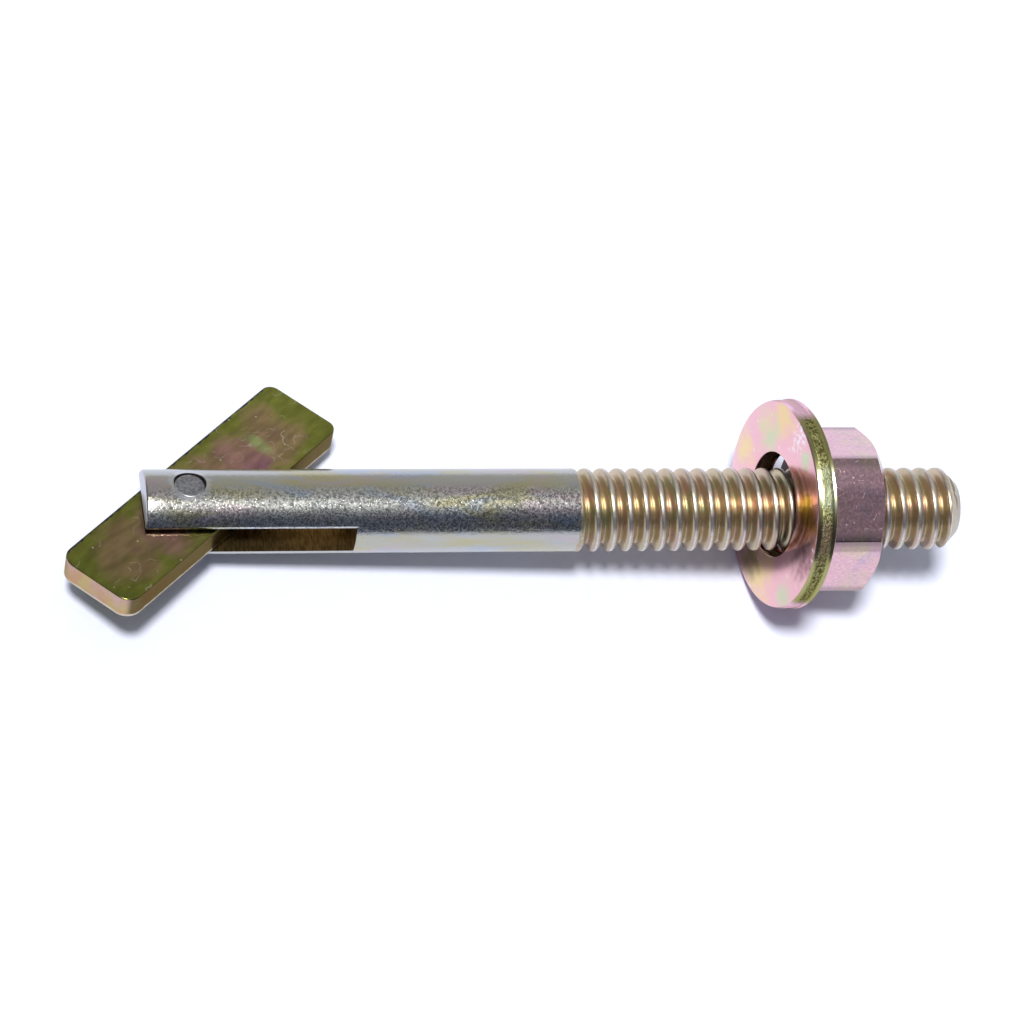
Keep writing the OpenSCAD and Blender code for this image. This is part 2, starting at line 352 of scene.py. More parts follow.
def lie_along(x_axis, origin):
    """Matrix that takes a piece drawn in millimetres to its place: X along an axis, Z by the pin."""
    x = x_axis.normalized()
    y = PIN_AXIS.cross(x).normalized()
    turn = Matrix((x, y, x.cross(y))).transposed().to_4x4()
    return Matrix.Translation(origin) @ turn @ Matrix.Scale(MM, 4)


def stud_place():
    """Place of the stud: X from the tip along its axis, Z along the pin."""
    tip = PIN_MIDDLE - STUD_AXIS * bpy.context.scene.toggle_stud.pin_from_tip
    return lie_along(STUD_AXIS, tip)


def bar_place():
    """Place of the bar: X along the bar from the pin to its heavy end."""
    edge_normal = Vector(mount("bar_edge")["axis"])
    return lie_along(PIN_AXIS.cross(edge_normal), PIN_MIDDLE)


def washer_place():
    """Place of the washer: X along its axis from front to back, through its middle."""
    low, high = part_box("washer")
    return lie_along(-Vector(mount("washer_face")["axis"]), (low + high) / 2)


def nut_place():
    """Place of the nut: X along the stud from its inner face."""
    turn = Matrix.Rotation(bpy.context.scene.toggle_nut.turn, 4, "X")
    return lie_along(STUD_AXIS, Vector(joint("nut_turn")["pos_m"])) @ turn


# Meshes, drawn in millimetres


def make_object(name, bm):
    """A new object from a bmesh."""
    bmesh.ops.recalc_face_normals(bm, faces=bm.faces)
    mesh = bpy.data.meshes.new(name)
    bm.to_mesh(mesh)
    bm.free()
    made = bpy.data.objects.new(name, mesh)
    bpy.context.scene.collection.objects.link(made)
    return made


def ring(bm, x, r):
    """A ring of points about the X axis."""
    turns = np.linspace(0, 2 * math.pi, ROUND_STEPS, endpoint=False)
    return [bm.verts.new((x, r * math.cos(t), r * math.sin(t))) for t in turns]


def skin(bm, first, second):
    """Faces between two rings with as many points each."""
    for i in range(len(first)):
        j = (i + 1) % len(first)
        bm.faces.new((first[i], first[j], second[j], second[i]))


def lathe(bm, profile, closed=False):
    """Turns a list of (x, r) about the X axis. A closed profile joins its end to its start."""
    rings = [ring(bm, x, r) for x, r in profile]
    for first, second in zip(rings, rings[1:] + rings[:1] if closed else rings[1:]):
        skin(bm, first, second)
    return rings


def round_corner(centre, r, start, turn=90):
    """Points of an arc about a centre, in degrees."""
    return [
        (centre[0] + r * math.cos(a), centre[1] + r * math.sin(a))
        for a in np.radians(np.linspace(start, start + turn, EDGE_STEPS + 1))
    ]


def cut(target, *cutters):
    """Cuts shapes out of an object and removes them."""
    for cutter in cutters:
        modifier = target.modifiers.new("cut", "BOOLEAN")
        modifier.operation = "DIFFERENCE"
        modifier.solver = "EXACT"
        modifier.object = cutter
    cut_mesh = target.evaluated_get(bpy.context.evaluated_depsgraph_get())
    mesh = bpy.data.meshes.new_from_object(cut_mesh)
    target.modifiers.clear()
    target.data = mesh
    for cutter in cutters:
        bpy.data.objects.remove(cutter)


def prism(name, outline, low, high):
    """A cutter with an outline in Y and Z, drawn out along X."""
    bm = bmesh.new()
    near = [bm.verts.new((low, y, z)) for y, z in outline]
    far = [bm.verts.new((high, y, z)) for y, z in outline]
    skin(bm, near, far)
    bm.faces.new(near)
    bm.faces.new(far)
    return make_object(name, bm)


def drill(name, x, r, reach):
    """A round cutter along Z."""
    bm = bmesh.new()
    ends = lathe(bm, [(-reach, r), (reach, r)])
    for end in ends:
        bm.faces.new(end)
    bmesh.ops.transform(
        bm, verts=bm.verts, matrix=Matrix.Translation((x, 0, 0)) @ Matrix.Rotation(math.pi / 2, 4, "Y")
    )
    return make_object(name, bm)


def set_down(piece, place, materials, pick, node, body):
    """Notes each point's place on the piece, then moves, paints and ties the piece to its node."""
    mesh = piece.data
    points = np.empty(len(mesh.vertices) * 3, np.float32)
    mesh.vertices.foreach_get("co", points)
    mesh.attributes.new(PLACE, "FLOAT_VECTOR", "POINT").data.foreach_set("vector", points)
    mesh.materials.clear()
    for material in materials:
        mesh.materials.append(material)
    for face in mesh.polygons:
        face.material_index = pick(face.center, face.normal)
    mesh.shade_smooth()
    mesh.set_sharp_from_angle(angle=SMOOTH_ANGLE)
    mesh.transform(place)
    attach(piece, body)
    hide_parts(node)


def thread_drops(depth):
    """Drops below the crests along one pitch from the middle of a crest, with the edges rubbed round."""
    along = np.arange(PITCH_STEPS) / PITCH_STEPS
    from_crest = np.minimum(along, 1 - along)
    flank = 0.5 - CREST_SHARE / 2 - ROOT_SHARE / 2
    drop = depth * np.clip((from_crest - CREST_SHARE / 2) / flank, 0, 1)
    for _ in range(RUB_STEPS):
        drop = (np.roll(drop, 1) + 2 * drop + np.roll(drop, -1)) / 4
    return drop - drop.min()


def thread_lead(size):
    """Where the thread's helix would cross the stud's Y side, some turns before its shoulder."""
    crest_x = size.thread_start + size.pitch * FIRST_CREST_SHARE
    turns = bpy.context.scene.toggle_stud.crest_side / (2 * math.pi) + SPARE_TURNS
    return crest_x - size.pitch * turns


def thread_rows(bm, size, lead):
    """Points of the helix: one row along a pitch at each step round the stud."""
    r = size.across / 2
    end_r = r - size.end_chamfer
    drops = thread_drops(size.thread_depth)
    rows = []
    for i in range(ROUND_STEPS * math.ceil((size.long - lead) / size.pitch + SPARE_TURNS)):
        turn = 2 * math.pi * i / ROUND_STEPS
        row = []
        for k in range(PITCH_STEPS):
            x = lead + size.pitch * (i / ROUND_STEPS + k / PITCH_STEPS)
            sunk = np.clip((x - size.thread_start) / size.shoulder, 0, 1)
            sunk = sunk * sunk * (3 - 2 * sunk)
            reach = max(min(r - drops[k] * sunk, end_r + size.long - x), end_r)
            row.append(bm.verts.new((x, reach * math.cos(turn), reach * math.sin(turn))))
        rows.append(row)
    return rows


def stud_mesh(size):
    """The stud: rounded tip, shank, true right-hand thread and chamfered end."""
    r = size.across / 2
    lead = thread_lead(size)
    bm = bmesh.new()
    rim = round_corner((size.tip_round, r - size.tip_round), size.tip_round, 180, -90)
    shank = np.linspace(size.tip_round, lead - size.pitch / 2, SHANK_STEPS)[1:]
    rings = lathe(bm, rim + [(x, r) for x in shank])
    bm.faces.new(rings[0])

    rows = thread_rows(bm, size, lead)
    for i in range(len(rows) - ROUND_STEPS - 1):
        here = rows[i] + [rows[i + ROUND_STEPS][0]]
        after = rows[i + 1] + [rows[i + 1 + ROUND_STEPS][0]]
        for k in range(PITCH_STEPS):
            bm.faces.new((here[k], here[k + 1], after[k + 1], after[k]))
    last = rings[-1]
    for i in range(ROUND_STEPS - 1):
        bm.faces.new((last[i], rows[i][0], rows[i + 1][0], last[i + 1]))
    seam = [last[-1], rows[ROUND_STEPS - 1][0], rows[ROUND_STEPS][0], *reversed(rows[0]), last[0]]
    bm.faces.new(seam)

    end = Vector((size.long, 0, 0))
    everything = bm.verts[:] + bm.edges[:] + bm.faces[:]
    bmesh.ops.bisect_plane(bm, geom=everything, plane_co=end, plane_no=(1, 0, 0), clear_outer=True)
    open_edges = [edge for edge in bm.edges if edge.is_boundary]
    bmesh.ops.edgeloop_fill(bm, edges=open_edges)
    return make_object("plated_stud", bm)


def slot_outline(size):
    """Outline of the slot across the stud, with one broken edge at each of its mouths."""
    r, half = size.across / 2, size.slot_wide / 2
    mouth = math.sqrt(r * r - half * half) - size.slot_edge
    reach = r + OVERRUN
    flare = half + (reach - mouth) * math.tan(SLOT_FLARE)
    right = [(reach, half), (reach, -flare), (mouth, -half)]
    return right + [(-y, -z) for y, z in right]


def bar_mesh(size):
    """The punched bar: rounded corners, rolled upper rim, sheared sides and a pin hole."""

    def outline(inset):
        points = []
        for quarter, (sx, sy) in enumerate(((1, 1), (-1, 1), (-1, -1), (1, -1))):
            corner = size.heavy_corner if sx > 0 else size.light_corner
            middle_x = size.offset + sx * (size.long / 2 - corner)
            middle_y = sy * (size.wide / 2 - corner)
            for a in np.radians(np.linspace(0, 90, CORNER_STEPS + 1) + 90 * quarter):
                r = corner - inset
                points.append((middle_x + r * math.cos(a), middle_y + r * math.sin(a)))
        return points

    top, bottom = size.thick / 2, -size.thick / 2
    levels = [(size.roll - y, top - size.roll + z) for y, z in round_corner((0, 0), size.roll, 90, -90)]
    levels += [(size.burr - y, bottom + size.burr + z) for y, z in round_corner((0, 0), size.burr, 0, -90)]
    bm = bmesh.new()
    rings = [[bm.verts.new((x, y, z)) for x, y in outline(inset)] for inset, z in levels]
    for first, second in zip(rings, rings[1:]):
        skin(bm, first, second)
    bm.faces.new(rings[0])
    bm.faces.new(rings[-1])
    plate = make_object("plated_bar", bm)
    cut(plate, drill("bar_drill", 0, size.hole / 2, size.thick))
    return plate


def pin_mesh(size):
    """The pin along Z: rounded rims and faintly hollow ends."""
    r, half = size.across / 2, size.long / 2
    rim = round_corner((half - size.edge, r - size.edge), size.edge, 0)
    half_profile = [(half - size.dish, r / 3), (half - size.dish / 2, r * 2 / 3)] + rim
    bm = bmesh.new()
    rings = lathe(bm, half_profile + [(-x, y) for x, y in reversed(half_profile)])
    bm.faces.new(rings[0])
    bm.faces.new(rings[-1])
    stand = Matrix.Translation((bpy.context.scene.toggle_stud.pin_from_tip / MM, 0, 0))
    bmesh.ops.transform(bm, verts=bm.verts, matrix=stand @ Matrix.Rotation(math.pi / 2, 4, "Y"))
    return make_object("steel_pin", bm)


def washer_mesh(size):
    """The punched washer: rolled front rim, a burr round the back rim, sharper edges elsewhere."""
    r, hole, half, edge = size.across / 2, size.hole / 2, size.thick / 2, size.edge
    land = r - size.burr
    profile = round_corner((edge - half, hole + edge), edge, 270, -90)
    profile += [
        (size.roll_long * (x + 1) - half, land + size.roll * (y - 1))
        for x, y in round_corner((0, 0), 1, 180, -90)
    ]
    slope = size.burr * BURR_SLOPE_SHARE
    profile += [(half - edge - slope * (1 - t), land + size.burr * t) for t in BURR_STEP_SHARES]
    profile += round_corner((half - edge, r - edge), edge, 90, -90)
    profile += round_corner((half - edge, hole + edge), edge, 0, -90)
    bm = bmesh.new()
    lathe(bm, profile, closed=True)
    return make_object("plated_washer", bm)


def nut_mesh(size):
    """The hex nut: chamfered corners, countersunk hole, faintly rounded edges."""
    apothem = size.flats / 2
    corner = apothem / math.cos(math.pi / 6)
    slope = math.tan(CHAMFER_ANGLE)
    inner_face = corner - size.inner_chamfer / slope
    outer_face = corner - size.chamfer / slope
    bore = [
        (0, size.hole / 2 + size.sink),
        (size.sink, size.hole / 2),
        (size.high - size.sink, size.hole / 2),
        (size.high, size.hole / 2 + size.sink),
    ]
    bm = bmesh.new()
    columns = []
    for i in range(6 * FLAT_STEPS):
        flat, step = divmod(i, FLAT_STEPS)
        across = apothem * math.tan(math.pi / 3 * (step / FLAT_STEPS - 0.5))
        turn = math.pi / 3 * (flat + 0.5) + math.atan2(across, apothem)
        far = math.hypot(apothem, across)
        outside = [
            (0, min(far, inner_face)),
            (max(0, (far - inner_face) * slope), far),
            (size.high - max(0, (far - outer_face) * slope), far),
            (size.high, min(far, outer_face)),
        ]
        columns.append([
            bm.verts.new((x, r * math.sin(turn), -r * math.cos(turn))) for x, r in outside + bore[::-1]
        ])
    count = len(columns[0])
    for here, after in zip(columns, columns[1:] + columns[:1]):
        for k in range(count):
            j = (k + 1) % count
            bm.faces.new((here[k], here[j], after[j], after[k]))
    corners = [columns[flat * FLAT_STEPS][1:3] for flat in range(6)]
    ridges = [bm.edges.get(pair) for pair in corners]
    bmesh.ops.bevel(
        bm, geom=ridges, offset=size.edge, segments=BEVEL_STEPS, affect="EDGES", profile=0.5
    )
    bmesh.ops.remove_doubles(bm, verts=bm.verts, dist=JOIN_GAP)
    return make_object("plated_nut", bm)


# Materials


def add_node(tree, kind, inputs=None, **settings):
    """A new shader node. Each input is a value, or a socket to link to."""
    made = tree.nodes.new(kind)
    for key, value in settings.items():
        setattr(made, key, value)
    for key, value in (inputs or {}).items():
        if isinstance(value, bpy.types.NodeSocket):
            tree.links.new(value, made.inputs[key])
        else:
            made.inputs[key].default_value = value
    return made


def opaque(rgb):
    """A colour with full alpha. A socket stays as it is."""
    return rgb if isinstance(rgb, bpy.types.NodeSocket) else (*rgb, 1)


def darker(rgb, shade):
    """A colour with each of its parts scaled by a shade."""
    return [part * factor for part, factor in zip(rgb, shade)]


def mix(tree, share, first, second, blend="MIX"):
    """A mix of two colours or sockets."""
    return add_node(
        tree, "ShaderNodeMix", {0: share, 6: opaque(first), 7: opaque(second)},
        data_type="RGBA", blend_type=blend,
    ).outputs[2]


def coat(tree, film, mask, rgb):
    """A film with another colour over it where a mask says."""
    return mix(tree, mask, film, rgb)


def maths(tree, operation, first, second=0.0):
    """A sum on one or two values or sockets."""
    return add_node(tree, "ShaderNodeMath", {0: first, 1: second}, operation=operation).outputs[0]


def times(tree, first, second):
    """The product of two values or sockets."""
    return maths(tree, "MULTIPLY", first, second)


def either(tree, first, second):
    """The larger of two masks at each point."""
    return maths(tree, "MAXIMUM", first, second)


def spread(tree, value, low, high, start=0.0, end=1.0):
    """A value's share of the way from low to high, eased at both ends."""
    return add_node(
        tree, "ShaderNodeMapRange",
        {"Value": value, "From Min": low, "From Max": high, "To Min": start, "To Max": end},
        interpolation_type="SMOOTHSTEP",
    ).outputs[0]


def toned(tree, film, value, low, high, start, end):
    """A film scaled from start to end while a value goes from low to high."""
    return mix(tree, 1.0, film, spread(tree, value, low, high, start, end), "MULTIPLY")


def mottled(tree, value, rgb, shade, low=0.35, high=0.65):
    """A colour, darkened by a shade where a random value is low."""
    return mix(tree, spread(tree, value, low, high), darker(rgb, shade), rgb)


def ragged(tree, gap, value, reach):
    """A distance that strays by up to a reach either way with a random value."""
    return maths(tree, "ADD", gap, spread(tree, value, 0.2, 0.8, -reach, reach))


def stretch(tree, vector, factors, shift=(0, 0, 0)):
    """A vector with each part scaled and shifted."""
    return add_node(
        tree, "ShaderNodeMapping", {"Vector": vector, "Scale": factors, "Location": shift}
    ).outputs[0]


def measure(tree, operation, first, second):
    """A distance between two vectors, or the reach of the first along the second."""
    return add_node(
        tree, "ShaderNodeVectorMath", {0: first, 1: second}, operation=operation
    ).outputs["Value"]


def part_of(tree, vector, axis):
    """One part of a vector."""
    return add_node(tree, "ShaderNodeSeparateXYZ", {0: vector}).outputs[axis]


def from_axis(tree, place, keep=(0, 1, 1), axis=(0, 0, 0)):
    """Distance of each point from an axis, in millimetres. The axis runs along the part not kept."""
    flat = add_node(tree, "ShaderNodeVectorMath", {0: place, 1: keep}, operation="MULTIPLY")
    return measure(tree, "DISTANCE", flat.outputs[0], axis)


def noise(tree, vector, scale, detail=2.0, rough=0.5, twist=0.0):
    """A soft random value over a vector."""
    return add_node(
        tree, "ShaderNodeTexNoise",
        {"Vector": vector, "Scale": scale, "Detail": detail, "Roughness": rough, "Distortion": twist},
    ).outputs["Fac"]


def hairlines(tree, vector, scale, width, keep):
    """A mask of fine curled scratches, kept only here and there."""
    line = maths(tree, "ABSOLUTE", maths(tree, "SUBTRACT", noise(tree, vector, scale, 1), 0.5))
    some = noise(tree, stretch(tree, vector, (1, 1, 1), (7, 3, 5)), scale * 1.3)
    return times(tree, spread(tree, line, width, 0), spread(tree, some, keep, keep + 0.05))


def specks(tree, vector, scale, size, keep):
    """A mask of small round specks, one in some of the cells of a grid."""
    cells = add_node(tree, "ShaderNodeTexVoronoi", {"Vector": vector, "Scale": scale})
    some = spread(tree, part_of(tree, cells.outputs["Color"], 0), keep, keep + 0.02)
    return times(tree, spread(tree, cells.outputs["Distance"], size, size / 2), some)


def patch(tree, place, centre, reach):
    """A mask of one soft patch about a point, with a reach along each axis in millimetres."""
    squash = [1 / part for part in reach]
    middle = [part * factor for part, factor in zip(centre, squash)]
    gap = measure(tree, "DISTANCE", stretch(tree, place, squash), middle)
    return spread(tree, ragged(tree, gap, noise(tree, place, 0.7, 2), 0.4), 1.1, 0)


def drift(tree, vector, scale, shift, low=0.42, high=0.66):
    """A mask of wide soft patches."""
    return spread(tree, noise(tree, stretch(tree, vector, (1, 1, 1), shift), scale, 2, 0.5, 0.5), low, high)


def bump(tree, height, depth_mm):
    """A normal raised by a height, over a depth in millimetres."""
    return add_node(
        tree, "ShaderNodeBump", {"Height": height, "Distance": depth_mm * MM, "Strength": 1.0}
    ).outputs[0]


def metal(name, rough):
    """A new metal: its tree, its shader and the socket with each point's place."""
    material = bpy.data.materials.new(name)
    material.use_nodes = True
    tree = material.node_tree
    shader = tree.nodes["Principled BSDF"]
    shader.inputs["Metallic"].default_value = 1.0
    shader.inputs["Roughness"].default_value = rough
    place = add_node(tree, "ShaderNodeAttribute", attribute_name=PLACE).outputs["Vector"]
    return material, tree, shader, place


def paint(tree, shader, film, rough=None, normal=None):
    """Links a film colour, and a roughness and a normal where given, to a shader."""
    tree.links.new(film, shader.inputs["Base Color"])
    if rough is not None:
        tree.links.new(rough, shader.inputs["Roughness"])
    if normal is not None:
        tree.links.new(normal, shader.inputs["Normal"])


def shank_material(look, size):
    """Silver zinc with faint olive, rose and blue patches and frosted marks, grainy on its upper front side,
    where the grain is brightened as a painted sparkle, with painted shade on the walls of the pin's holes.
    """
    material, tree, shader, place = metal("shank_zinc", 0.2)
    from_tip = part_of(tree, place, 0)
    along = stretch(tree, place, (0.3, 1, 1))
    film = mix(tree, drift(tree, along, 0.5, (3, 1, 7)), look.silver, look.olive)
    film = coat(tree, film, drift(tree, along, 0.6, (9, 4, 2), 0.5, 0.7), look.rose)
    film = coat(tree, film, drift(tree, along, 0.6, (5, 8, 3), 0.5, 0.7), look.blue)
    worms = noise(tree, place, 6, 2, 0.5, 1.2)
    # Real grain of the film, its contrast raised on the upper front side as a painted sparkle of the
    # highlight
    outward = measure(tree, "DOT_PRODUCT", place, SPARKLE_WAY)
    rubbed = spread(tree, outward, size.across * SPARKLE_START_SHARE, size.across * SPARKLE_FULL_SHARE)
    film = mix(tree, rubbed, film, toned(tree, film, worms, 0.35, 0.65, 0.58, 1.55))
    hole = size.pin_hole / 2
    pin_gap = from_axis(tree, place, (1, 1, 0), (size.pin_from_tip, 0, 0))
    lip = ragged(tree, pin_gap, noise(tree, place, 3, 2), 0.2)
    film = coat(tree, film, spread(tree, lip, hole + 0.5, hole + 0.1, 0, 0.6), look.crest)
    # Painted shade: the walls of the pin's holes are coloured dark
    film = coat(tree, film, spread(tree, pin_gap, hole + 0.03, hole), look.dark)
    on_tip = spread(tree, from_tip, 0.05, 0.02)
    film = coat(tree, film, on_tip, look.crest)
    frosted = times(tree, spread(tree, worms, 0.43, 0.57), drift(tree, along, 1.2, (2, 6, 4), 0.1, 0.75))
    frost = spread(tree, from_tip, 5, 30, 0.06, 0.125)
    rough = maths(tree, "ADD", times(tree, frosted, frost), 0.15)
    rough = either(tree, rough, times(tree, on_tip, 0.5))
    paint(tree, shader, film, rough, bump(tree, worms, 0.012))
    return material


def thread_material(look, size, start):
    """Golden film, darkened towards its lower front side as painted shade, rubbed bare in a line along the
    crests and in small specks.
    """
    material, tree, shader, place = metal("thread_zinc", 0.32)
    from_tip = part_of(tree, place, 0)
    film = mix(tree, drift(tree, place, 0.5, (1, 5, 2)), look.gold, look.copper)
    film = coat(tree, film, drift(tree, place, 0.7, (8, 2, 6), 0.5, 0.7), look.olive)
    # Painted shade: the film is darkened towards the thread's lower front side
    film = toned(tree, film, measure(tree, "DOT_PRODUCT", place, SHADED_THREAD_WAY), 0.8, 2.0, 1, 0.82)
    turn = maths(tree, "ARCTAN2", part_of(tree, place, 2), part_of(tree, place, 1))
    turns = maths(tree, "DIVIDE", turn, 2 * math.pi)
    pitches = maths(tree, "DIVIDE", maths(tree, "SUBTRACT", from_tip, start), size.pitch)
    crest_gap = maths(tree, "PINGPONG", maths(tree, "SUBTRACT", pitches, turns), 0.5)
    crest_gap = ragged(tree, crest_gap, noise(tree, place, 4, 2), 0.025)
    full = spread(tree, from_tip, size.thread_start + 0.3, size.thread_start + 0.8)
    crests = times(tree, full, spread(tree, crest_gap, 0.065, 0.025))
    film = coat(tree, film, either(tree, crests, specks(tree, place, 2, 0.16, 0.7)), look.crest)
    end_gap = maths(tree, "SUBTRACT", size.long, from_tip)
    film = coat(tree, film, spread(tree, end_gap, size.end_chamfer * 0.8, 0, 0, 0.8), look.silver)
    rough = spread(tree, noise(tree, place, 3, 3), 0.3, 0.7, 0.31, 0.38)
    paint(tree, shader, film, rough, bump(tree, noise(tree, place, 5, 3), 0.006))
    return material


def sawn_material(look):
    """Brown-gold film over faint saw marks in the slot, with a few bright specks."""
    material, tree, shader, place = metal("slot_zinc", 0.34)
    marks = noise(tree, stretch(tree, place, (4, 0.8, 1)), 1.6, 4, 0.6)
    film = mottled(tree, marks, look.sawn, (0.55, 0.5, 0.4))
    film = coat(tree, film, specks(tree, place, 1.8, 0.17, 0.75), look.crest)
    paint(tree, shader, film, normal=bump(tree, marks, 0.02))
    return material


def pin_material(look, size):
    """Dull bare steel, mottled, with a brighter rim that is a painted highlight of its rounding."""
    material, tree, shader, place = metal("pin_bare_steel", 0.42)
    marks = noise(tree, place, 3.5, 4, 0.6)
    film = mottled(tree, marks, look.steel, (0.55, 0.55, 0.57))
    middle = (bpy.context.scene.toggle_stud.pin_from_tip / MM, 0, 0)
    outward = maths(tree, "ADD", from_axis(tree, place, (1, 1, 0), middle), times(tree, marks, 0.3))
    rim = size.across / 2 + 0.1
    # Painted highlight: the rounded rim is coloured lighter
    film = coat(tree, film, spread(tree, outward, rim - size.edge, rim), look.rim)
    paint(tree, shader, film, normal=bump(tree, marks, 0.02))
    return material


def bar_end_gap(tree, place, size):
    """Distance of each point of the bar from its nearer end, in millimetres."""
    past_middle = maths(tree, "ABSOLUTE", maths(tree, "SUBTRACT", part_of(tree, place, 0), size.offset))
    return maths(tree, "SUBTRACT", size.long / 2, past_middle)


def bar_face_material(look, size):
    """Film on the bar's faces: green by the rim, brown inside, patches beside the stud, scratches."""
    material, tree, shader, place = metal("bar_face_zinc", 0.2)
    across = part_of(tree, place, 1)
    half, top = size.wide / 2, size.thick / 2
    side_gap = maths(tree, "SUBTRACT", half, maths(tree, "ABSOLUTE", across))
    rim_gap = maths(tree, "MINIMUM", times(tree, bar_end_gap(tree, place, size), 0.5), side_gap)
    rim_gap = ragged(tree, rim_gap, noise(tree, place, 0.3, 3), 1.6)
    film = mix(tree, spread(tree, rim_gap, 0.2, 2.6), look.green, look.brown)
    for name, centre, reach in BAR_PATCHES:
        mask = patch(tree, place, (*centre, top), (*reach, PATCH_DEPTH))
        film = coat(tree, film, mask, getattr(look, name))
    edge = ragged(tree, across, noise(tree, place, 2, 3), 0.12)
    film = coat(tree, film, spread(tree, edge, half - 0.25, half - 0.1), look.line)
    streaks = noise(tree, stretch(tree, place, (0.6, 1.6, 1)), 0.9, 4)
    film = toned(tree, film, streaks, 0.25, 0.75, 0.75, 1.2)
    film = toned(tree, film, part_of(tree, place, 0), -8, 10, 0.9, 1.15)
    flat = stretch(tree, place, (1, 1, 0))
    hair = times(tree, hairlines(tree, flat, 0.5, 0.01, 0.54), 0.5)
    curls = hairlines(tree, stretch(tree, flat, (1, 1, 1), (4, 2, 0)), 0.9, 0.028, 0.36)
    centre, reach = BAR_SCUFF
    scuffed = times(tree, patch(tree, place, (*centre, top), (*reach, PATCH_DEPTH)), 0.9)
    hair = either(tree, hair, times(tree, curls, scuffed))
    film = coat(tree, film, either(tree, hair, specks(tree, flat, 1.1, 0.11, 0.66)), look.scratch)
    rough = spread(tree, noise(tree, place, 1.5, 3), 0.3, 0.7, 0.16, 0.24)
    paint(tree, shader, film, rough, bump(tree, streaks, 0.004))
    return material


def bar_side_material(look, size):
    """Dark film on the bar's long sides as painted shade, bright film on its sheared ends, a rubbed lower
    rim.
    """
    material, tree, shader, place = metal("bar_side_zinc", 0.26)
    shader.inputs["Specular Tint"].default_value = opaque(look.sheen)
    shear = noise(tree, stretch(tree, place, (1.5, 1.5, 0.3)), 1.3, 3)
    # Painted shade: the long sides get a much darker film than the sheared ends
    dark = mix(tree, drift(tree, place, 0.4, (2, 4, 1)), look.edge, look.shade_brown)
    bright = mix(tree, drift(tree, place, 0.45, (6, 1, 3)), look.peach, look.straw)
    bright = coat(tree, bright, drift(tree, place, 0.5, (1, 3, 9)), look.blush)
    film = mix(tree, spread(tree, bar_end_gap(tree, place, size), 0.55, 0.15), dark, bright)
    level = ragged(tree, part_of(tree, place, 2), shear, 0.06)
    bottom = -size.thick / 2
    film = coat(tree, film, spread(tree, level, bottom + 0.3, bottom + 0.15), look.scratch)
    paint(tree, shader, film, normal=bump(tree, shear, 0.01))
    return material


def washer_face_material(look, size):
    """Pink film on the washer's flat faces, with patches of other colours, those beside and below the stud
    being a painted reflection of the stud and its shade, and white scuffs.
    """
    material, tree, shader, place = metal("washer_face_zinc", 0.15)
    film = mix(tree, drift(tree, place, 0.3, (2, 5, 1), 0.5, 0.85), look.pink, look.peach)
    front = -size.thick / 2
    # Some of these patches are a painted reflection of the stud and its shade
    for name, centre, reach in WASHER_PATCHES:
        mask = patch(tree, place, (front, *centre), (PATCH_DEPTH, *reach))
        film = coat(tree, film, mask, getattr(look, name))
    scuffs = times(tree, specks(tree, stretch(tree, place, (0, 0.6, 1.4)), 1.3, 0.2, 0.8), 0.5)
    centre, reach = WASHER_SCUFF
    worn = patch(tree, place, (front, *centre), (PATCH_DEPTH, *reach))
    worn = times(tree, worn, spread(tree, noise(tree, place, 3, 3), 0.42, 0.6))
    film = coat(tree, film, either(tree, scuffs, worn), look.scuff)
    rough = spread(tree, noise(tree, place, 2, 3), 0.3, 0.7, 0.12, 0.18)
    paint(tree, shader, film, rough, bump(tree, noise(tree, place, 2.2, 3), 0.004))
    return material


def washer_rim_material(look, size):
    """Olive-gold film on the sheared rim, grainy in the middle and pink on one side, with a painted
    highlight and a painted shade, and the hole's wall.
    """
    material, tree, shader, place = metal("washer_rim_zinc", 0.2)
    shader.inputs["Specular Tint"].default_value = opaque(look.sheen)
    grain = noise(tree, stretch(tree, place, (1.3, 1, 1)), 5, 3, 0.6)
    from_middle = maths(tree, "ABSOLUTE", part_of(tree, place, 0))
    grainy = spread(tree, from_middle, size.thick / 2 - 0.2, 0.2)
    pits = times(tree, spread(tree, grain, 0.42, 0.58), grainy)
    film = mix(tree, pits, look.rim, darker(look.rim, (0.22, 0.22, 0.16)))
    side = measure(tree, "DOT_PRODUCT", place, GREEN_RIM_WAY)
    film = mix(tree, spread(tree, side, 3.0, 4.2), look.blush, film)
    # A painted highlight and a painted shade on the rim
    for name, centre, reach, strength in RIM_PATCHES:
        mask = times(tree, patch(tree, place, (0, *centre), (PATCH_DEPTH, *reach)), strength)
        film = coat(tree, film, mask, getattr(look, name))
    hole = size.hole / 2
    film = coat(tree, film, spread(tree, from_axis(tree, place), hole + 0.6, hole + 0.3), look.bore)
    rough = spread(tree, grainy, 0, 1, 0.2, 0.34)
    paint(tree, shader, film, rough, bump(tree, times(tree, grain, grainy), 0.15))
    return material


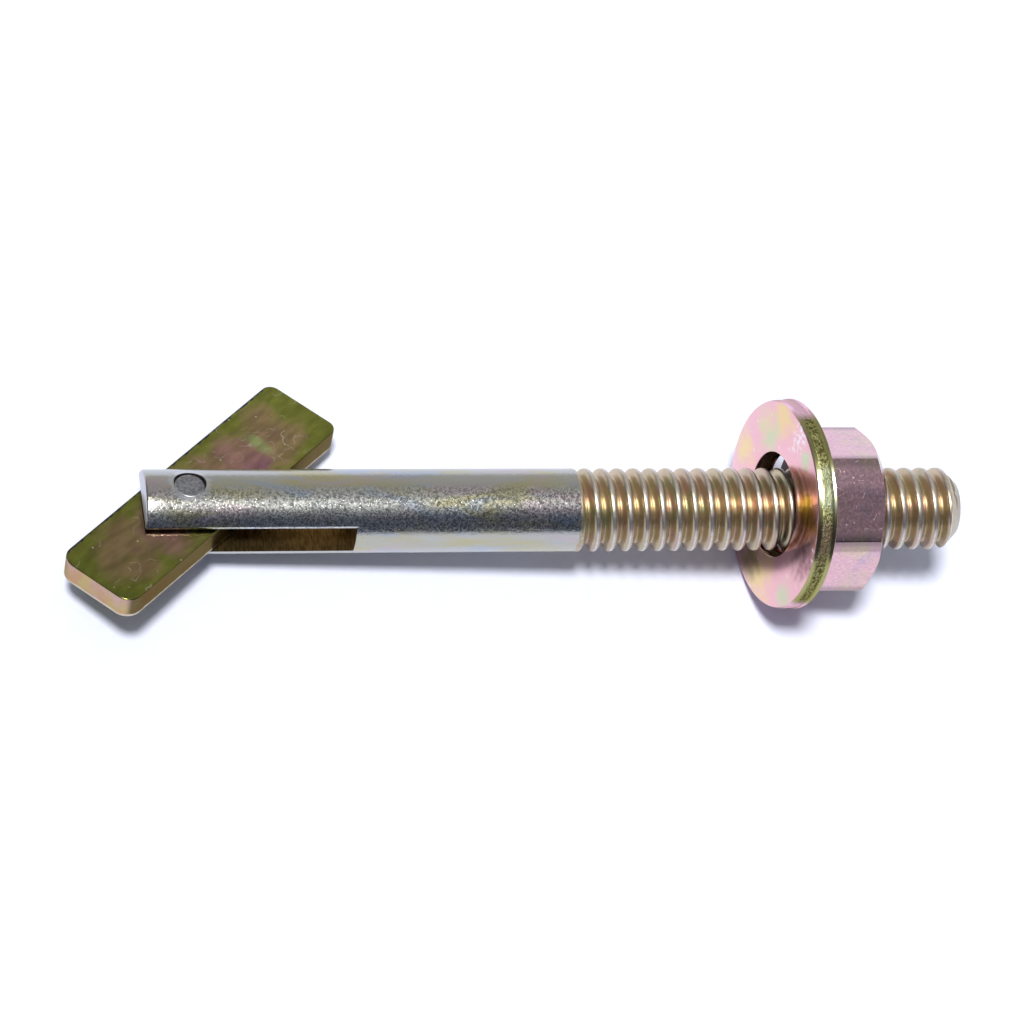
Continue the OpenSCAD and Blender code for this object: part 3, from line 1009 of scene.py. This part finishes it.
def nut_material(look, size):
    """Pink film with faint yellow and mauve patches, scratches, specks, darker lines along the corners and
    one flat darkened as painted shade.
    """
    material, tree, shader, place = metal("nut_flat_zinc", 0.2)
    film = mix(tree, drift(tree, place, 0.35, (6, 2, 8), 0.45, 0.75), look.pink, look.yellow)
    film = coat(tree, film, drift(tree, place, 0.5, (3, 7, 1), 0.5, 0.8), look.mauve)
    lines = hairlines(tree, stretch(tree, place, (1, 1.4, 1)), 0.6, 0.006, 0.5)
    marks = times(tree, either(tree, lines, specks(tree, place, 1.5, 0.13, 0.75)), 0.45)
    film = coat(tree, film, marks, look.scratch)
    mottle = noise(tree, place, 4, 4, 0.65)
    film = toned(tree, film, mottle, 0.25, 0.75, 0.8, 1.12)
    half = size.flats / 2
    # Painted shade: the flat facing this way is darkened
    shaded_flat_side = measure(tree, "DOT_PRODUCT", place, SHADED_FLAT_WAY)
    film = toned(tree, film, shaded_flat_side, half - 0.5, half - 0.2, 1, 0.63)
    corner = half / math.cos(math.pi / 6)
    outward = ragged(tree, from_axis(tree, place), mottle, 0.15)
    # Darker lines along the corners
    film = coat(tree, film, spread(tree, outward, corner - 0.35, corner - 0.15, 0, 0.45), look.corner_darkening)
    rough = maths(tree, "ADD", spread(tree, mottle, 0.35, 0.7, 0.13, 0.2), times(tree, marks, 0.4))
    paint(tree, shader, film, rough, bump(tree, mottle, 0.006))
    return material


def bearing_material(look):
    """Dull turned face of the nut, towards the washer, painted dark as the shade between the nut and the
    washer.
    """
    material, tree, shader, place = metal("nut_face_zinc", 0.5)
    rings = noise(tree, stretch(tree, place, (1, 3, 3)), 1.4, 3)
    # Painted shade: the face's film is very dark
    film = mottled(tree, rings, look.face, (0.5, 0.5, 0.5), 0.3, 0.7)
    paint(tree, shader, film, normal=bump(tree, rings, 0.01))
    return material


def floor_material(look):
    """Matt white paper with a faint tooth."""
    material = bpy.data.materials.new("floor_paper")
    material.use_nodes = True
    tree = material.node_tree
    shader = tree.nodes["Principled BSDF"]
    shader.inputs["Roughness"].default_value = 1.0
    shader.inputs["Specular IOR Level"].default_value = 0.0
    tooth = noise(tree, add_node(tree, "ShaderNodeTexCoord").outputs["Object"], 900, 3)
    paint(tree, shader, toned(tree, look.floor, tooth, 0.3, 0.7, 0.98, 1.0))
    return material


# Operators


class TOGGLE_OT_stud(bpy.types.Operator):
    """Builds the plated stud with its fork, shank and helical thread"""

    bl_idname = "toggle_bolt.stud"
    bl_label = "Stud"

    def execute(self, context):
        look = context.scene.toggle_stud
        size = sizes_mm(look)
        stud = stud_mesh(size)
        cut(
            stud,
            prism("slot_saw", slot_outline(size), -OVERRUN, size.slot_long),
            drill("pin_drill", size.pin_from_tip, size.pin_hole / 2, size.across),
        )

        def pick(middle, normal):
            in_slot = middle.x < size.slot_long + NEAR and abs(middle.z) < size.slot_wide / 2 + NEAR
            on_side = abs(normal.z) > SLOT_FLAT
            on_end = normal.x < -SLOT_FLAT and middle.x > size.tip_round
            if in_slot and (on_side or on_end):
                return 2
            return 1 if middle.x > size.thread_start else 0

        materials = [
            shank_material(look, size),
            thread_material(look, size, thread_lead(size)),
            sawn_material(look),
        ]
        set_down(stud, stud_place(), materials, pick, "stud", "stud")
        return {"FINISHED"}


class TOGGLE_OT_pin(bpy.types.Operator):
    """Builds the bare steel pivot pin"""

    bl_idname = "toggle_bolt.pin"
    bl_label = "Pivot pin"

    def execute(self, context):
        look = context.scene.toggle_pin
        size = sizes_mm(look)
        materials = [pin_material(look, size)]
        set_down(
            pin_mesh(size), stud_place(), materials, lambda *_: 0, "pivot_pin", "stud"
        )
        return {"FINISHED"}


class TOGGLE_OT_bar(bpy.types.Operator):
    """Builds the punched toggle bar"""

    bl_idname = "toggle_bolt.bar"
    bl_label = "Toggle bar"

    def execute(self, context):
        look = context.scene.toggle_bar
        size = sizes_mm(look)
        materials = [bar_face_material(look, size), bar_side_material(look, size)]
        set_down(
            bar_mesh(size), bar_place(), materials, lambda _, normal: int(abs(normal.z) < BAR_FLAT),
            "toggle_bar", "toggle_bar",
        )
        return {"FINISHED"}


class TOGGLE_OT_washer(bpy.types.Operator):
    """Builds the punched washer"""

    bl_idname = "toggle_bolt.washer"
    bl_label = "Washer"

    def execute(self, context):
        look = context.scene.toggle_washer
        size = sizes_mm(look)
        materials = [washer_face_material(look, size), washer_rim_material(look, size)]
        set_down(
            washer_mesh(size), washer_place(), materials,
            lambda _, normal: int(abs(normal.x) < WASHER_FLAT),
            "washer", "washer",
        )
        return {"FINISHED"}


class TOGGLE_OT_nut(bpy.types.Operator):
    """Builds the chamfered hex nut"""

    bl_idname = "toggle_bolt.nut"
    bl_label = "Hex nut"

    def execute(self, context):
        look = context.scene.toggle_nut
        size = sizes_mm(look)
        materials = [nut_material(look, size), bearing_material(look)]
        set_down(
            nut_mesh(size), nut_place(), materials, lambda _, normal: int(normal.x < -NUT_FLAT),
            "hex_nut", "hex_nut",
        )
        return {"FINISHED"}


def camera_axes(look):
    """The camera's right, up and forward directions, from its angles about the stud."""
    turn = stud_place().to_3x3().normalized()
    level = math.cos(look.above)
    forward = Vector((math.sin(look.aside) * level, math.cos(look.aside) * level, -math.sin(look.above)))
    right = forward.cross(Vector((0, 0, 1))).normalized()
    up = right.cross(forward)
    lean, rest = math.sin(look.roll), math.cos(look.roll)
    return turn @ (right * rest + up * lean), turn @ (up * rest - right * lean), turn @ forward


def room_light(look, toward, over):
    """World light: a plain room, dimmer on the camera's side, with a soft glow round the key light."""
    world = bpy.data.worlds.new("studio_room")
    world.use_nodes = True
    tree = world.node_tree
    way = add_node(tree, "ShaderNodeTexCoord").outputs["Generated"]
    behind = measure(tree, "DOT_PRODUCT", way, toward)
    shade = mix(tree, spread(tree, behind, -0.3, 1), look.front, look.back)
    fall = math.log(0.5) / math.log(math.cos(look.glow_wide / 2))
    above = maths(tree, "MAXIMUM", measure(tree, "DOT_PRODUCT", way, over), 0)
    glow = times(tree, maths(tree, "POWER", above, fall), look.glow)
    shade = mix(tree, 1.0, shade, glow, "ADD")
    tree.links.new(shade, tree.nodes["Background"].inputs["Color"])
    return world


class TOGGLE_OT_stage(bpy.types.Operator):
    """Sets the floor, the light and the camera"""

    bl_idname = "toggle_bolt.stage"
    bl_label = "Stage"

    def execute(self, context):
        scene = context.scene
        look = scene.toggle_stage
        right, up, forward = camera_axes(look)
        toward = Vector((forward.x, forward.y, 0)).normalized()

        bm = bmesh.new()
        bmesh.ops.create_grid(bm, x_segments=1, y_segments=1, size=FLOOR_REACH)
        floor = make_object("paper_floor", bm)
        floor.data.materials.append(floor_material(look))

        middle = stud_place() @ Vector((look.aim / MM, 0, -look.sink / MM))
        camera = bpy.data.objects.new("camera", bpy.data.cameras.new("camera"))
        camera.data.lens = look.lens
        camera.data.sensor_width = SENSOR_WIDTH
        turn = Matrix((right, up, -forward)).transposed().to_4x4()
        camera.matrix_world = Matrix.Translation(middle - forward * look.away) @ turn
        scene.collection.objects.link(camera)
        scene.camera = camera

        key = bpy.data.objects.new("key_light", bpy.data.lights.new("key_light", "SUN"))
        key.data.energy = look.key
        key.data.angle = look.key_wide
        left = Vector((0, 0, 1)).cross(toward)
        over = Vector((0, 0, 1)) - toward * math.tan(look.key_lean) + left * math.tan(look.key_left)
        over.normalize()
        key.rotation_euler = over.to_track_quat("Z", "Y").to_euler()
        scene.collection.objects.link(key)

        scene.world = room_light(look, toward, over)
        scene.view_settings.view_transform = "Standard"
        return {"FINISHED"}


class TOGGLE_PT_panel(bpy.types.Panel):
    """Lists the pieces, each with its button and its settings."""

    bl_label = "Toggle bolt"
    bl_idname = "TOGGLE_PT_panel"
    bl_space_type = "VIEW_3D"
    bl_region_type = "UI"
    bl_category = "Toggle bolt"

    def draw(self, context):
        for operator, group, name in STEPS:
            box = self.layout.box()
            box.operator(operator.bl_idname)
            for setting in group.__annotations__:
                box.prop(getattr(context.scene, name), setting)


# Each step in building order: its operator, its settings and their name on the scene
STEPS = (
    (TOGGLE_OT_stud, StudSettings, "toggle_stud"),
    (TOGGLE_OT_pin, PinSettings, "toggle_pin"),
    (TOGGLE_OT_bar, BarSettings, "toggle_bar"),
    (TOGGLE_OT_washer, WasherSettings, "toggle_washer"),
    (TOGGLE_OT_nut, NutSettings, "toggle_nut"),
    (TOGGLE_OT_stage, StageSettings, "toggle_stage"),
)


def register():
    for operator, group, name in STEPS:
        bpy.utils.register_class(group)
        setattr(bpy.types.Scene, name, PointerProperty(type=group))
        bpy.utils.register_class(operator)
    bpy.utils.register_class(TOGGLE_PT_panel)


def unregister():
    bpy.utils.unregister_class(TOGGLE_PT_panel)
    for operator, group, name in reversed(STEPS):
        bpy.utils.unregister_class(operator)
        delattr(bpy.types.Scene, name)
        bpy.utils.unregister_class(group)


def main():
    """Builds every piece and the stage."""
    register()
    for operator, *_ in STEPS:
        family, name = operator.bl_idname.split(".")
        getattr(getattr(bpy.ops, family), name)()


if __name__ == "__main__":
    main()
